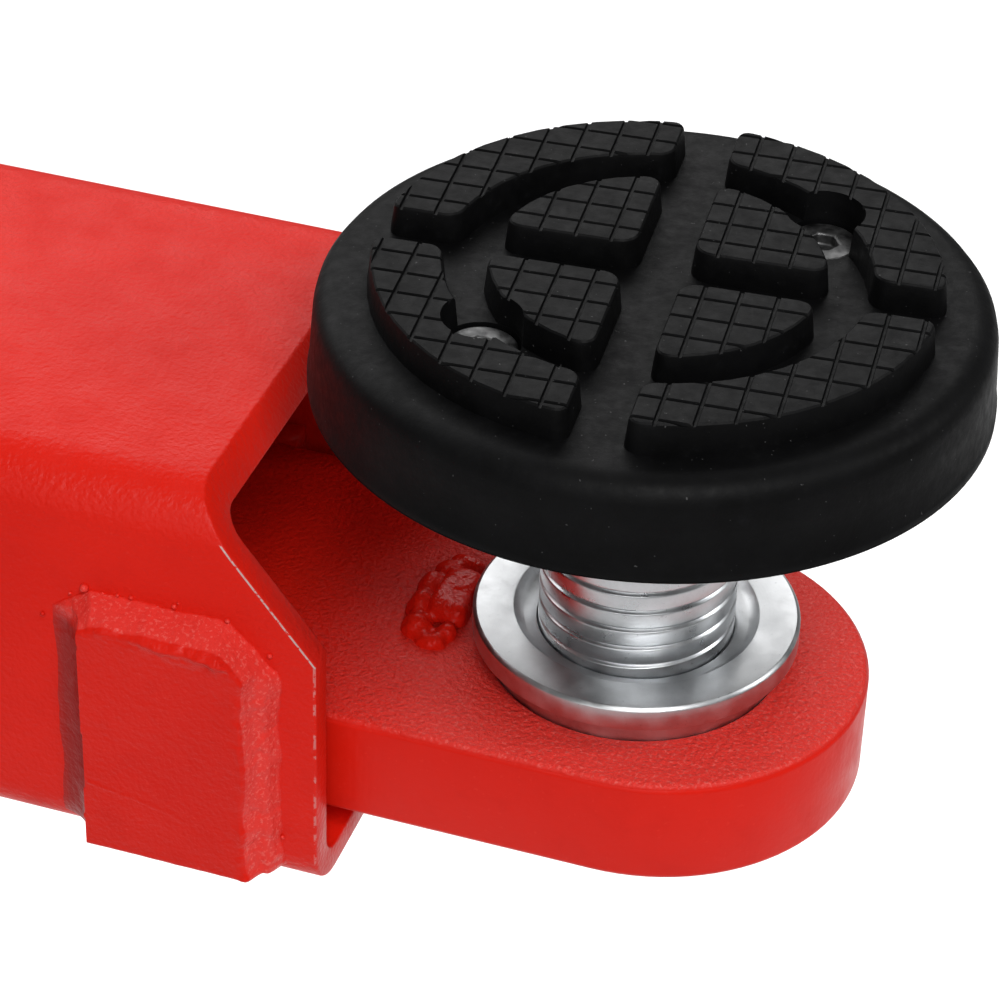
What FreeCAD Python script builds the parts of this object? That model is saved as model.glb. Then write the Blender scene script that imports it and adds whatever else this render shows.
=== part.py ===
"""Telescopic swing arm of a vehicle lift, with a double-thread screw pad on its end.

Millimetres. The origin is on the pivot axis, level with the underside of the pivot boss.
+X runs out along the arm to the pad, +Z is up, and -Y is the near side.
"""
import FreeCAD, Part
import math
import os

V = FreeCAD.Vector
UP = V(0, 0, 1)

# Pivot head
PIVOT_BORE_R = 22.5
BUSH_WALL = 5.5
BUSH_LENGTH = 40.0
BOSS_WALL = 14.0
PLATE_THICK = 10.0
PLATE_RIM = 24.0
PLATE_TAPER_X = 90.0
PLATE_LENGTH = 190.0
ROOT_GAP = 18.0
ROOT_PLATE_THICK = 10.0
RIB_INSIDE_Y = 24.0
RIB_THICK = 10.0

# Restraint gear on the pivot head
GEAR_THICK = 12.0
GEAR_BORE_CLEARANCE = 1.0
GEAR_REACH = 42.0
GEAR_TOOTH_HEIGHT = 10.0
GEAR_HALF_ANGLE = 75.0
GEAR_TEETH = 15
GEAR_BOLT_OFFSET = 12.0
GEAR_BOLT_SPREAD = 40.0
GEAR_BOLT_R = 5.0
GEAR_BOLT_AF = 17.0
GEAR_BOLT_HEAD = 6.4
GEAR_WASHER_R = 10.0
GEAR_WASHER_THICK = 2.0
GEAR_NUT_HEIGHT = 8.0

# Outer arm
OUTER_WALL = 6.0
OUTER_MOUTH_X = 560.0
BAND_LENGTH = 22.0
BAND_THICK = 6.0
SLIDE_CLEARANCE = 1.0

# Inner arm, at the extension it is stored in
INNER_WIDTH = 99.0
INNER_HEIGHT = 83.0
INNER_WALL = 5.5
INNER_CORNER_R = 10.0
INNER_LENGTH = 470.0
MOUTH_X = 760.0
BEVEL_SETBACK = 23.2
BEVEL_DROP = 29.3
EXTEND_MORE = 120.0
EXTEND_LESS = 147.0

# Travel stop bolt through the outer arm's floor, in a slot of the inner arm
STOP_BOLT_X = 515.0
STOP_BOLT_R = 6.0
STOP_BOLT_TIP = 4.0
STOP_NUT_R = 14.0
STOP_NUT_HEIGHT = 10.0
STOP_HEAD_AF = 19.0
STOP_HEAD_HEIGHT = 7.5
SLOT_CLEARANCE = 1.0

# Stop blocks welded on both sides of the inner arm
BLOCK_LENGTH = 32.0
BLOCK_HEIGHT = 50.5
BLOCK_THICK = 7.0
BLOCK_FRONT_GAP = 10.5
BLOCK_BOTTOM = 6.0
BLOCK_REAR_WELD = 7.5
BLOCK_FRONT_WELD = 3.8
BLOCK_TOP_WELD = 4.5

# Lug plate welded in the mouth of the inner arm
LUG_WIDTH = 78.0
LUG_THICK = 21.5
LUG_RISE = 12.5
LUG_INSIDE_LENGTH = 110.0
SCREW_REACH = 43.8
LUG_END_OFFSET = 4.5
LUG_EDGE_CHAMFER = 1.0
LUG_WELD_SETBACK = 38.0
LUG_WELD_DEPTH = 6.0
LUG_WELD_CROWN = 1.5
PACKING_SETBACK = 50.0
PACKING_LENGTH = 35.0
TAB_LENGTH = 7.0
TAB_WIDTH = 14.0
TAB_HEIGHT = 4.0
TAB_GAP = 1.2
TAB_WELD = 5.5

# Flanged sleeve, threaded into the lug plate
SLEEVE_WALL = 9.0
SLEEVE_PITCH = 4.0
SLEEVE_THREAD_DEPTH = 1.4
SLEEVE_BELOW_LUG = 8.0
SLEEVE_PLAIN_NECK = 6.0
FLANGE_OVERHANG = 3.0
FLANGE_THICK = 4.8
FLANGE_LIFT = 4.5
FLANGE_CHAMFER = 0.6
DISH_WIDTH = 4.5
DISH_DEPTH = 2.2
FIT_CLEARANCE = 0.08
RUN_CLEARANCE = 0.4

# Stop rings under the lug plate and under the sleeve
END_CHAMFER = 1.2
RING_THICK = 2.0
RING_GROOVE_DEPTH = 2.2
RING_END_GAP = 2.0
RING_FLOAT = 0.15
SLEEVE_RING_STEP = 2.5
SCREW_RING_STEP = 3.5
RECESS_DEPTH = 8.0
RECESS_CLEARANCE = 1.5

# Lift screw
SCREW_R = 18.0
SCREW_PITCH = 4.0
SCREW_THREAD_DEPTH = 1.6
SCREW_BELOW_SLEEVE = 6.0
COLLAR_STEP = 4.0
COLLAR_THICK = 5.0
COLLAR_ABOVE_FLANGE = 37.0
SPIGOT_STEP = 5.5
SPIGOT_ABOVE_PLATE = 3.4

# Saddle and rubber pad
THRUST_WASHER_THICK = 2.0
SWIVEL_FLOAT = 0.1
HUB_STEP = 4.0
HUB_HEIGHT = 8.7
SADDLE_THICK = 8.0
PAD_R = 60.0
PAD_SIDE_WALL = 6.7
PAD_DRAFT = 1.0
PAD_SHOULDER_FILLET = 4.5
PAD_SKIRT = 2.5
PAD_OVER_SADDLE = 7.4
PAD_SEAT_CLEARANCE = 0.3
PAD_RING_ROOM = 3.0
PAD_RING_ROOM_HEIGHT = 4.2
TREAD_HEIGHT = 5.7
TREAD_MARGIN = 9.5
TREAD_RING_WIDTH = 13.0
TREAD_CHANNEL_WIDTH = 7.0
TREAD_CROSS_WIDTH = 9.5
TREAD_TURN = 4.6
PAD_SCREW_OFFSET = 9.0
PAD_SCREW_HEAD_R = 6.2
PAD_SCREW_HEAD = 4.0
PAD_SCREW_R = 4.0
PAD_SCREW_HOLE_CLEARANCE = 0.5
PAD_SCREW_SOCKET_AF = 5.0
PAD_SCREW_SOCKET_DEPTH = 2.2
PAD_CLAMPED = 3.0
PAD_NUT_AF = 13.0
PAD_NUT_HEIGHT = 6.5
SPIGOT_RING_STEP = 4.5
SPIGOT_RING_THICK = 2.0

# Grease nipple on the boss
NIPPLE_HEX_AF = 10.0
NIPPLE_HEX_LENGTH = 5.0
NIPPLE_NECK_R = 2.6
NIPPLE_TIP_R = 3.3
NIPPLE_LENGTH = 12.0

# Radii worked out from the values above
BUSH_R = PIVOT_BORE_R + BUSH_WALL
BOSS_R = BUSH_R + BOSS_WALL
PLATE_END_R = BOSS_R + PLATE_RIM
GEAR_ROOT_R = BOSS_R + GEAR_REACH
GEAR_BOLT_CIRCLE_R = BOSS_R + GEAR_BOLT_OFFSET
SLEEVE_R = SCREW_R + SLEEVE_WALL
FLANGE_R = SLEEVE_R + FLANGE_OVERHANG
DISH_R = SCREW_R + DISH_WIDTH
SLEEVE_RING_R = SLEEVE_R + SLEEVE_RING_STEP
SCREW_RING_R = SCREW_R + SCREW_RING_STEP
COLLAR_R = SCREW_R + COLLAR_STEP
HUB_R = COLLAR_R + HUB_STEP
SPIGOT_R = SCREW_R - SPIGOT_STEP
SPIGOT_RING_R = SPIGOT_R + SPIGOT_RING_STEP
PAD_RING_ROOM_R = SPIGOT_RING_R + PAD_RING_ROOM
PAD_SCREW_CIRCLE_R = HUB_R + PAD_SCREW_OFFSET
SADDLE_R = PAD_R - PAD_SIDE_WALL - PAD_SEAT_CLEARANCE
PAD_SHOULDER_R = PAD_R - PAD_DRAFT
TREAD_OUTER_R = PAD_SHOULDER_R - TREAD_MARGIN
TREAD_CHANNEL_OUTER_R = TREAD_OUTER_R - TREAD_RING_WIDTH
TREAD_CHANNEL_INNER_R = TREAD_CHANNEL_OUTER_R - TREAD_CHANNEL_WIDTH

# Heights and lengths worked out from the values above
ROOT_PLATE_X = BOSS_R + ROOT_GAP
OUTER_BOTTOM = PLATE_THICK
CAVITY_WIDTH = INNER_WIDTH + 2 * SLIDE_CLEARANCE
CAVITY_HEIGHT = INNER_HEIGHT + 2 * SLIDE_CLEARANCE
OUTER_WIDTH = CAVITY_WIDTH + 2 * OUTER_WALL
OUTER_HEIGHT = CAVITY_HEIGHT + 2 * OUTER_WALL
OUTER_TOP = OUTER_BOTTOM + OUTER_HEIGHT
CAVITY_CORNER_R = INNER_CORNER_R + SLIDE_CLEARANCE
OUTER_CORNER_R = CAVITY_CORNER_R + OUTER_WALL
BOSS_HEIGHT = OUTER_TOP + PLATE_THICK
INNER_BOTTOM = OUTER_BOTTOM + OUTER_WALL + SLIDE_CLEARANCE
INNER_TOP = INNER_BOTTOM + INNER_HEIGHT
INNER_REAR_X = MOUTH_X - INNER_LENGTH
LUG_BOTTOM = INNER_BOTTOM + LUG_RISE
LUG_TOP = LUG_BOTTOM + LUG_THICK
SCREW_X = MOUTH_X + SCREW_REACH
FLANGE_BOTTOM = LUG_TOP + FLANGE_LIFT
FLANGE_TOP = FLANGE_BOTTOM + FLANGE_THICK
SLEEVE_BOTTOM = LUG_BOTTOM - SLEEVE_BELOW_LUG
SCREW_BOTTOM = SLEEVE_BOTTOM - SCREW_BELOW_SLEEVE
COLLAR_BOTTOM = FLANGE_TOP + COLLAR_ABOVE_FLANGE
HUB_BOTTOM = COLLAR_BOTTOM + COLLAR_THICK + THRUST_WASHER_THICK + SWIVEL_FLOAT
SADDLE_BOTTOM = HUB_BOTTOM + HUB_HEIGHT
SADDLE_TOP = SADDLE_BOTTOM + SADDLE_THICK
PAD_BOTTOM = SADDLE_BOTTOM - PAD_SKIRT
PAD_TOP = SADDLE_TOP + PAD_OVER_SADDLE
PAD_SCREW_ANGLES = (TREAD_TURN + 45.0, TREAD_TURN + 225.0)


def box(x0, x1, y0, y1, z0, z1):
    return Part.makeBox(x1 - x0, y1 - y0, z1 - z0, V(x0, y0, z0))


def rod(radius, z0, z1, x=0.0, y=0.0):
    return Part.makeCylinder(radius, z1 - z0, V(x, y, z0), UP)


def tube(outer, inner, z0, z1, x=0.0, y=0.0):
    return rod(outer, z0, z1, x, y).cut(rod(inner, z0, z1, x, y))


def turned(profile, x=0.0):
    """A solid of revolution about the vertical line at x, from (radius, height) points."""
    points = [V(x + radius, 0, z) for radius, z in profile]
    face = Part.Face(Part.makePolygon(points + points[:1]))
    return face.revolve(V(x, 0, 0), UP, 360)


def extruded(points, direction):
    return Part.Face(Part.makePolygon(points + points[:1])).extrude(direction)


def hexagon(across_flats, z0, z1, x=0.0, y=0.0, turn=0.0):
    corner = across_flats / math.sqrt(3)
    angles = [math.radians(turn + 60 * i) for i in range(6)]
    points = [V(x + corner * math.cos(a), y + corner * math.sin(a), z0) for a in angles]
    return extruded(points, V(0, 0, z1 - z0))


def rounded_bar(x0, x1, width, height, z0, corner):
    """A bar along X with rounded long edges, centred on Y = 0."""
    bar = box(x0, x1, -width / 2, width / 2, z0, z0 + height)
    long_edges = [e for e in bar.Edges if abs(e.Vertexes[0].X - e.Vertexes[1].X) > 1]
    return bar.makeFillet(corner, long_edges)


def round_polar(radius, degrees):
    angle = math.radians(degrees)
    return radius * math.cos(angle), radius * math.sin(angle)


def joined(shapes):
    first, *rest = shapes
    return first.fuse(rest).removeSplitter() if rest else first


# Outer arm

def outer_arm_tube():
    x0 = ROOT_PLATE_X + ROOT_PLATE_THICK
    shell = rounded_bar(x0, OUTER_MOUTH_X, OUTER_WIDTH, OUTER_HEIGHT, OUTER_BOTTOM, OUTER_CORNER_R)
    floor = OUTER_BOTTOM + OUTER_WALL
    cavity = rounded_bar(x0 - 1, OUTER_MOUTH_X + 1, CAVITY_WIDTH, CAVITY_HEIGHT, floor, CAVITY_CORNER_R)
    bolt_hole = rod(STOP_BOLT_R + FIT_CLEARANCE, OUTER_BOTTOM - 1, floor + 1, STOP_BOLT_X)
    return shell.cut([cavity, bolt_hole])


def outer_mouth_band():
    x0 = OUTER_MOUTH_X - BAND_LENGTH
    grow = 2 * BAND_THICK
    low = OUTER_BOTTOM - BAND_THICK
    radius = OUTER_CORNER_R + BAND_THICK
    ring = rounded_bar(x0, OUTER_MOUTH_X, OUTER_WIDTH + grow, OUTER_HEIGHT + grow, low, radius)
    middle = rounded_bar(x0 - 1, OUTER_MOUTH_X + 1, OUTER_WIDTH, OUTER_HEIGHT, OUTER_BOTTOM, OUTER_CORNER_R)
    return ring.cut(middle)


def pivot_boss():
    return tube(BOSS_R, BUSH_R, 0, BOSS_HEIGHT)


def pivot_bush(z0):
    return tube(BUSH_R, PIVOT_BORE_R, z0, z0 + BUSH_LENGTH)


def pivot_plate(z0):
    half = OUTER_WIDTH / 2
    outline = [V(0, -PLATE_END_R, z0), V(PLATE_TAPER_X, -half, z0), V(PLATE_LENGTH, -half, z0)]
    outline += [V(point.x, -point.y, z0) for point in reversed(outline)]
    plate = extruded(outline, V(0, 0, PLATE_THICK)).fuse(rod(PLATE_END_R, z0, z0 + PLATE_THICK))
    return plate.removeSplitter().cut(rod(BOSS_R, z0 - 1, z0 + PLATE_THICK + 1))


def root_plate():
    half = OUTER_WIDTH / 2
    x1 = ROOT_PLATE_X + ROOT_PLATE_THICK
    return box(ROOT_PLATE_X, x1, -half, half, OUTER_BOTTOM, OUTER_TOP)


def root_rib(side):
    inside = side * RIB_INSIDE_Y
    outside = side * (RIB_INSIDE_Y + RIB_THICK)
    rib = box(0, ROOT_PLATE_X, min(inside, outside), max(inside, outside), OUTER_BOTTOM, OUTER_TOP)
    return rib.cut(rod(BOSS_R, OUTER_BOTTOM - 1, OUTER_TOP + 1))


def gear_bolt_places():
    return [round_polar(GEAR_BOLT_CIRCLE_R, 180 + GEAR_BOLT_SPREAD * i) for i in (-1, 0, 1)]


def restraint_gear():
    """A toothed sector behind the pivot, with straight-sided teeth."""
    pitch = 2 * GEAR_HALF_ANGLE / GEAR_TEETH
    start = 180 - GEAR_HALF_ANGLE
    z0 = BOSS_HEIGHT
    outline = [V(0, 0, z0)]
    for tooth in range(GEAR_TEETH):
        for share, high in ((0.0, 0), (0.22, 0), (0.38, 1), (0.62, 1), (0.78, 0)):
            x, y = round_polar(GEAR_ROOT_R + high * GEAR_TOOTH_HEIGHT, start + (tooth + share) * pitch)
            outline.append(V(x, y, z0))
    x, y = round_polar(GEAR_ROOT_R, 180 + GEAR_HALF_ANGLE)
    outline.append(V(x, y, z0))
    sector = extruded(outline, V(0, 0, GEAR_THICK))
    cuts = [rod(BOSS_R + GEAR_BORE_CLEARANCE, z0 - 1, z0 + GEAR_THICK + 1)]
    cuts += [rod(GEAR_BOLT_R + 0.5, z0 - 1, z0 + GEAR_THICK + 1, x, y) for x, y in gear_bolt_places()]
    return sector.cut(cuts)


def gear_fasteners():
    """Three bolts, with their washers and nuts."""
    top = BOSS_HEIGHT + GEAR_THICK
    head_seat = top + GEAR_WASHER_THICK
    nut_seat = OUTER_TOP
    bolts, washers, nuts = [], [], []
    for x, y in gear_bolt_places():
        shank = rod(GEAR_BOLT_R, nut_seat - GEAR_NUT_HEIGHT - 2, head_seat, x, y)
        head = hexagon(GEAR_BOLT_AF, head_seat, head_seat + GEAR_BOLT_HEAD, x, y)
        bolts.append(joined([shank, head]))
        washers.append(tube(GEAR_WASHER_R, GEAR_BOLT_R + 0.2, top, head_seat, x, y))
        nut = hexagon(GEAR_BOLT_AF, nut_seat - GEAR_NUT_HEIGHT, nut_seat, x, y)
        nuts.append(nut.cut(rod(GEAR_BOLT_R, nut_seat - GEAR_NUT_HEIGHT - 1, nut_seat + 1, x, y)))
    return Part.makeCompound(bolts), Part.makeCompound(washers), Part.makeCompound(nuts)


def drill_for_gear_bolts(plate, z0):
    holes = [rod(GEAR_BOLT_R + 0.5, z0 - 1, z0 + PLATE_THICK + 1, x, y) for x, y in gear_bolt_places()]
    return plate.cut(holes)


def grease_nipple():
    """A hexagon, neck and ball tip, pointing straight back from the boss."""
    hexagon_part = hexagon(NIPPLE_HEX_AF, 0, NIPPLE_HEX_LENGTH)
    neck = rod(NIPPLE_NECK_R, NIPPLE_HEX_LENGTH, NIPPLE_LENGTH)
    tip = Part.makeSphere(NIPPLE_TIP_R, V(0, 0, NIPPLE_LENGTH))
    nipple = joined([hexagon_part, neck, tip])
    nipple.rotate(V(0, 0, 0), V(0, 1, 0), -90)
    nipple.translate(V(-BOSS_R * math.cos(math.asin(NIPPLE_HEX_AF / math.sqrt(3) / BOSS_R)), 0, BOSS_HEIGHT / 2))
    return nipple.cut(rod(BOSS_R, 0, BOSS_HEIGHT))


def stop_nut():
    return tube(STOP_NUT_R, STOP_BOLT_R, OUTER_BOTTOM - STOP_NUT_HEIGHT, OUTER_BOTTOM, STOP_BOLT_X)


def stop_bolt():
    seat = OUTER_BOTTOM - STOP_NUT_HEIGHT
    tip = INNER_BOTTOM + INNER_WALL + STOP_BOLT_TIP
    shank = rod(STOP_BOLT_R, seat, tip, STOP_BOLT_X)
    head = hexagon(STOP_HEAD_AF, seat - STOP_HEAD_HEIGHT, seat, STOP_BOLT_X)
    return joined([shank, head])


# Inner arm

def inner_arm_tube():
    shell = rounded_bar(INNER_REAR_X, MOUTH_X, INNER_WIDTH, INNER_HEIGHT, INNER_BOTTOM, INNER_CORNER_R)
    hollow = rounded_bar(INNER_REAR_X - 1, MOUTH_X + 1, INNER_WIDTH - 2 * INNER_WALL,
                         INNER_HEIGHT - 2 * INNER_WALL, INNER_BOTTOM + INNER_WALL,
                         INNER_CORNER_R - INNER_WALL)
    half = INNER_WIDTH / 2 + 1
    bevel = [V(MOUTH_X - BEVEL_SETBACK, -half, INNER_TOP + 1), V(MOUTH_X - BEVEL_SETBACK, -half, INNER_TOP),
             V(MOUTH_X, -half, INNER_TOP - BEVEL_DROP), V(MOUTH_X + 1, -half, INNER_TOP - BEVEL_DROP),
             V(MOUTH_X + 1, -half, INNER_TOP + 1)]
    mouth_cut = extruded(bevel, V(0, 2 * half, 0))
    return shell.cut([hollow, mouth_cut, travel_slot()])


def travel_slot():
    radius = STOP_BOLT_R + SLOT_CLEARANCE
    x0 = STOP_BOLT_X - EXTEND_MORE - SLOT_CLEARANCE
    x1 = STOP_BOLT_X + EXTEND_LESS + SLOT_CLEARANCE
    z0 = INNER_BOTTOM - 1
    z1 = INNER_BOTTOM + INNER_WALL + 1
    ends = [rod(radius, z0, z1, x0), rod(radius, z0, z1, x1)]
    return joined([box(x0, x1, -radius, radius, z0, z1)] + ends)


def block_span():
    """X of the rear and front, and Z of the bottom and top, of a stop block's outer face."""
    front = MOUTH_X - BLOCK_FRONT_GAP
    bottom = INNER_BOTTOM + BLOCK_BOTTOM
    return front - BLOCK_LENGTH, front, bottom, bottom + BLOCK_HEIGHT


def stop_block(side):
    rear, front, bottom, top = block_span()
    wall = side * INNER_WIDTH / 2
    face = wall + side * BLOCK_THICK
    block = box(rear, front, min(wall, face), max(wall, face), bottom, top)
    under = side * (INNER_WIDTH / 2 - INNER_CORNER_R)
    heel = rounded_bar(rear - 1, front + 1, INNER_WIDTH, INNER_HEIGHT, INNER_BOTTOM, INNER_CORNER_R)
    backing = box(rear, front, min(under, face), max(under, face), bottom, INNER_BOTTOM + INNER_CORNER_R)
    return joined([block, backing.cut(heel)])


def block_weld(side):
    """Fillet welds along the rear, top and front edges of a stop block."""
    rear, front, bottom, top = block_span()
    wall = side * INNER_WIDTH / 2
    face = wall + side * BLOCK_THICK
    weld_bottom = max(bottom, INNER_BOTTOM + INNER_CORNER_R)
    outer_ring = [(rear - BLOCK_REAR_WELD, weld_bottom), (rear - BLOCK_REAR_WELD, top + BLOCK_TOP_WELD),
                  (front + BLOCK_FRONT_WELD, top + BLOCK_TOP_WELD), (front + BLOCK_FRONT_WELD, weld_bottom)]
    inner_ring = [(rear, weld_bottom), (rear, top), (front, top), (front, weld_bottom)]
    at_wall = Part.makePolygon([V(x, wall, z) for x, z in outer_ring + outer_ring[:1]])
    at_face = Part.makePolygon([V(x, face, z) for x, z in inner_ring + inner_ring[:1]])
    mound = Part.makeLoft([at_wall, at_face], True, True)
    return mound.cut(stop_block(side))


def lug_outline(z0, thickness, grow=0.0):
    half = LUG_WIDTH / 2 + grow
    end = SCREW_X + LUG_END_OFFSET
    straight = box(MOUTH_X - LUG_INSIDE_LENGTH - grow, end, -half, half, z0, z0 + thickness)
    return joined([straight, rod(half, z0, z0 + thickness, end)])


def lug_plate():
    plate = lug_outline(LUG_BOTTOM, LUG_THICK)
    rim = [e for e in plate.Edges if e.BoundBox.ZLength < 0.01]
    plate = plate.makeChamfer(LUG_EDGE_CHAMFER, rim)
    bore = rod(SLEEVE_R + FIT_CLEARANCE, LUG_BOTTOM - 1, LUG_TOP + 1, SCREW_X)
    recess = rod(SLEEVE_RING_R + RECESS_CLEARANCE, LUG_BOTTOM - 1, LUG_BOTTOM + RECESS_DEPTH, SCREW_X)
    return plate.cut([bore, recess])


def lug_weld(side):
    """A weld run that fills the gap between the lug plate and the arm's side wall."""
    near = LUG_WIDTH / 2
    wall = INNER_WIDTH / 2 - INNER_WALL
    x0 = MOUTH_X - LUG_INSIDE_LENGTH
    x1 = MOUTH_X - LUG_WELD_SETBACK
    low = LUG_TOP - LUG_EDGE_CHAMFER - LUG_WELD_DEPTH
    profile = [V(x0, side * near, low), V(x0, side * wall, low), V(x0, side * wall, LUG_TOP + LUG_WELD_CROWN),
               V(x0, side * near, LUG_TOP - LUG_EDGE_CHAMFER)]
    return extruded(profile, V(x1 - x0, 0, 0))


def lug_packing():
    half = LUG_WIDTH / 2
    floor = INNER_BOTTOM + INNER_WALL
    front = MOUTH_X - PACKING_SETBACK
    return box(front - PACKING_LENGTH, front, -half, half, floor, LUG_BOTTOM)


def tab_span():
    front = SCREW_X - FLANGE_R - TAB_GAP
    return front - TAB_LENGTH, front


def stop_tab():
    rear, front = tab_span()
    return box(rear, front, -TAB_WIDTH / 2, TAB_WIDTH / 2, LUG_TOP, LUG_TOP + TAB_HEIGHT)


def tab_weld():
    """A weld mound round the back and sides of the tab."""
    rear, front = tab_span()
    half = TAB_WIDTH / 2
    low = [V(x, y, LUG_TOP) for x, y in ((rear - TAB_WELD, -half - TAB_WELD), (front, -half - TAB_WELD),
                                         (front, half + TAB_WELD), (rear - TAB_WELD, half + TAB_WELD))]
    high = [V(x, y, LUG_TOP + TAB_HEIGHT) for x, y in ((rear, -half), (front, -half), (front, half), (rear, half))]
    mound = Part.makeLoft([Part.makePolygon(low + low[:1]), Part.makePolygon(high + high[:1])], True, True)
    return mound.cut(stop_tab())


# Sleeve and screw

def grooved_profile(radius, depth, pitch, z0, z1):
    """(radius, height) points up a thread's side, drawn as evenly spaced rings."""
    points = []
    turns = int((z1 - z0) / pitch)
    for i in range(turns):
        low = z0 + i * pitch
        points += [(radius, low + 0.35 * pitch), (radius - depth, low + 0.6 * pitch), (radius, low + 0.85 * pitch)]
    return points


def ring_groove(z0):
    """Heights of the groove that a stop ring sits in."""
    return z0 + RING_END_GAP, z0 + RING_END_GAP + RING_THICK + 2 * RING_FLOAT


def screw_sleeve():
    low, high = ring_groove(SLEEVE_BOTTOM)
    groove_r = SLEEVE_R - RING_GROOVE_DEPTH
    thread_low = high + 1
    thread_high = FLANGE_BOTTOM - SLEEVE_PLAIN_NECK
    outside = [(SLEEVE_R - END_CHAMFER, SLEEVE_BOTTOM), (SLEEVE_R, SLEEVE_BOTTOM + END_CHAMFER),
               (SLEEVE_R, low), (groove_r, low), (groove_r, high), (SLEEVE_R, high)]
    outside += grooved_profile(SLEEVE_R, SLEEVE_THREAD_DEPTH, SLEEVE_PITCH, thread_low, thread_high)
    outside += [(SLEEVE_R, FLANGE_BOTTOM), (FLANGE_R, FLANGE_BOTTOM), (FLANGE_R, FLANGE_TOP - FLANGE_CHAMFER),
                (FLANGE_R - FLANGE_CHAMFER, FLANGE_TOP)]
    bore_r = SCREW_R + FIT_CLEARANCE
    recess_r = SCREW_RING_R + RECESS_CLEARANCE
    recess_top = SLEEVE_BOTTOM + RECESS_DEPTH
    inside = [(DISH_R, FLANGE_TOP), (bore_r, FLANGE_TOP - DISH_DEPTH), (bore_r, recess_top),
              (recess_r, recess_top), (recess_r, SLEEVE_BOTTOM)]
    return turned(outside + inside, SCREW_X)


def stop_ring(outer, shaft, z0):
    """A flat ring with a gap at one side, clear of the groove's floor."""
    low = z0 + RING_END_GAP + RING_FLOAT
    inner = shaft - RING_GROOVE_DEPTH + RUN_CLEARANCE
    ring = tube(outer, inner, low, low + RING_THICK, SCREW_X)
    gap = box(SCREW_X - outer - 1, SCREW_X - inner + 1, -2.5, 2.5, low - 1, low + RING_THICK + 1)
    return ring.cut(gap)


def spigot_ring_span():
    low = SADDLE_TOP + RING_FLOAT
    return low, low + SPIGOT_RING_THICK


def lift_screw():
    low, high = ring_groove(SCREW_BOTTOM)
    groove_r = SCREW_R - RING_GROOVE_DEPTH
    ring_low, ring_high = spigot_ring_span()
    spigot_top = SADDLE_TOP + SPIGOT_ABOVE_PLATE
    spigot_groove = SPIGOT_R - 1.5
    collar_top = COLLAR_BOTTOM + COLLAR_THICK
    profile = [(0, SCREW_BOTTOM), (SCREW_R - END_CHAMFER, SCREW_BOTTOM), (SCREW_R, SCREW_BOTTOM + END_CHAMFER), (SCREW_R, low),
               (groove_r, low), (groove_r, high), (SCREW_R, high)]
    profile += grooved_profile(SCREW_R, SCREW_THREAD_DEPTH, SCREW_PITCH, high, COLLAR_BOTTOM - SCREW_PITCH)
    profile += [(SCREW_R, COLLAR_BOTTOM), (COLLAR_R, COLLAR_BOTTOM), (COLLAR_R, collar_top), (SPIGOT_R, collar_top),
                (SPIGOT_R, ring_low), (spigot_groove, ring_low), (spigot_groove, ring_high), (SPIGOT_R, ring_high),
                (SPIGOT_R, spigot_top - 1), (SPIGOT_R - 1, spigot_top), (0, spigot_top)]
    return turned(profile, SCREW_X)


def spigot_ring():
    low, high = spigot_ring_span()
    ring = tube(SPIGOT_RING_R, SPIGOT_R - 1.5, low, high, SCREW_X)
    gap = box(SCREW_X - SPIGOT_RING_R - 1, SCREW_X - SPIGOT_R + 2.5, -3, 3, low - 1, high + 1)
    return ring.cut(gap)


# Saddle and pad

def thrust_washer():
    low = COLLAR_BOTTOM + COLLAR_THICK
    return tube(COLLAR_R, SPIGOT_R + RUN_CLEARANCE, low, low + THRUST_WASHER_THICK, SCREW_X)


def pad_hub():
    return tube(HUB_R, SPIGOT_R + FIT_CLEARANCE, HUB_BOTTOM, SADDLE_BOTTOM, SCREW_X)


def pad_screw_places():
    return [(SCREW_X + x, y) for x, y in (round_polar(PAD_SCREW_CIRCLE_R, a) for a in PAD_SCREW_ANGLES)]


def saddle_plate():
    plate = tube(SADDLE_R, SPIGOT_R + FIT_CLEARANCE, SADDLE_BOTTOM, SADDLE_TOP, SCREW_X)
    holes = [rod(PAD_SCREW_R + 0.3, SADDLE_BOTTOM - 1, SADDLE_TOP + 1, x, y) for x, y in pad_screw_places()]
    return plate.cut(holes)


def tread(z0, z1):
    """Raised islands: an outer ring and an inner disc, parted by a channel and a cross."""
    raised = rod(TREAD_OUTER_R, z0, z1, SCREW_X)
    channel = tube(TREAD_CHANNEL_OUTER_R, TREAD_CHANNEL_INNER_R, z0, z1, SCREW_X)
    half = TREAD_CROSS_WIDTH / 2
    reach = TREAD_OUTER_R + 1
    bars = [box(-reach, reach, -half, half, z0, z1), box(-half, half, -reach, reach, z0, z1)]
    for bar in bars:
        bar.rotate(V(0, 0, 0), UP, TREAD_TURN)
        bar.translate(V(SCREW_X, 0, 0))
    return raised.cut([channel] + bars)


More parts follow.
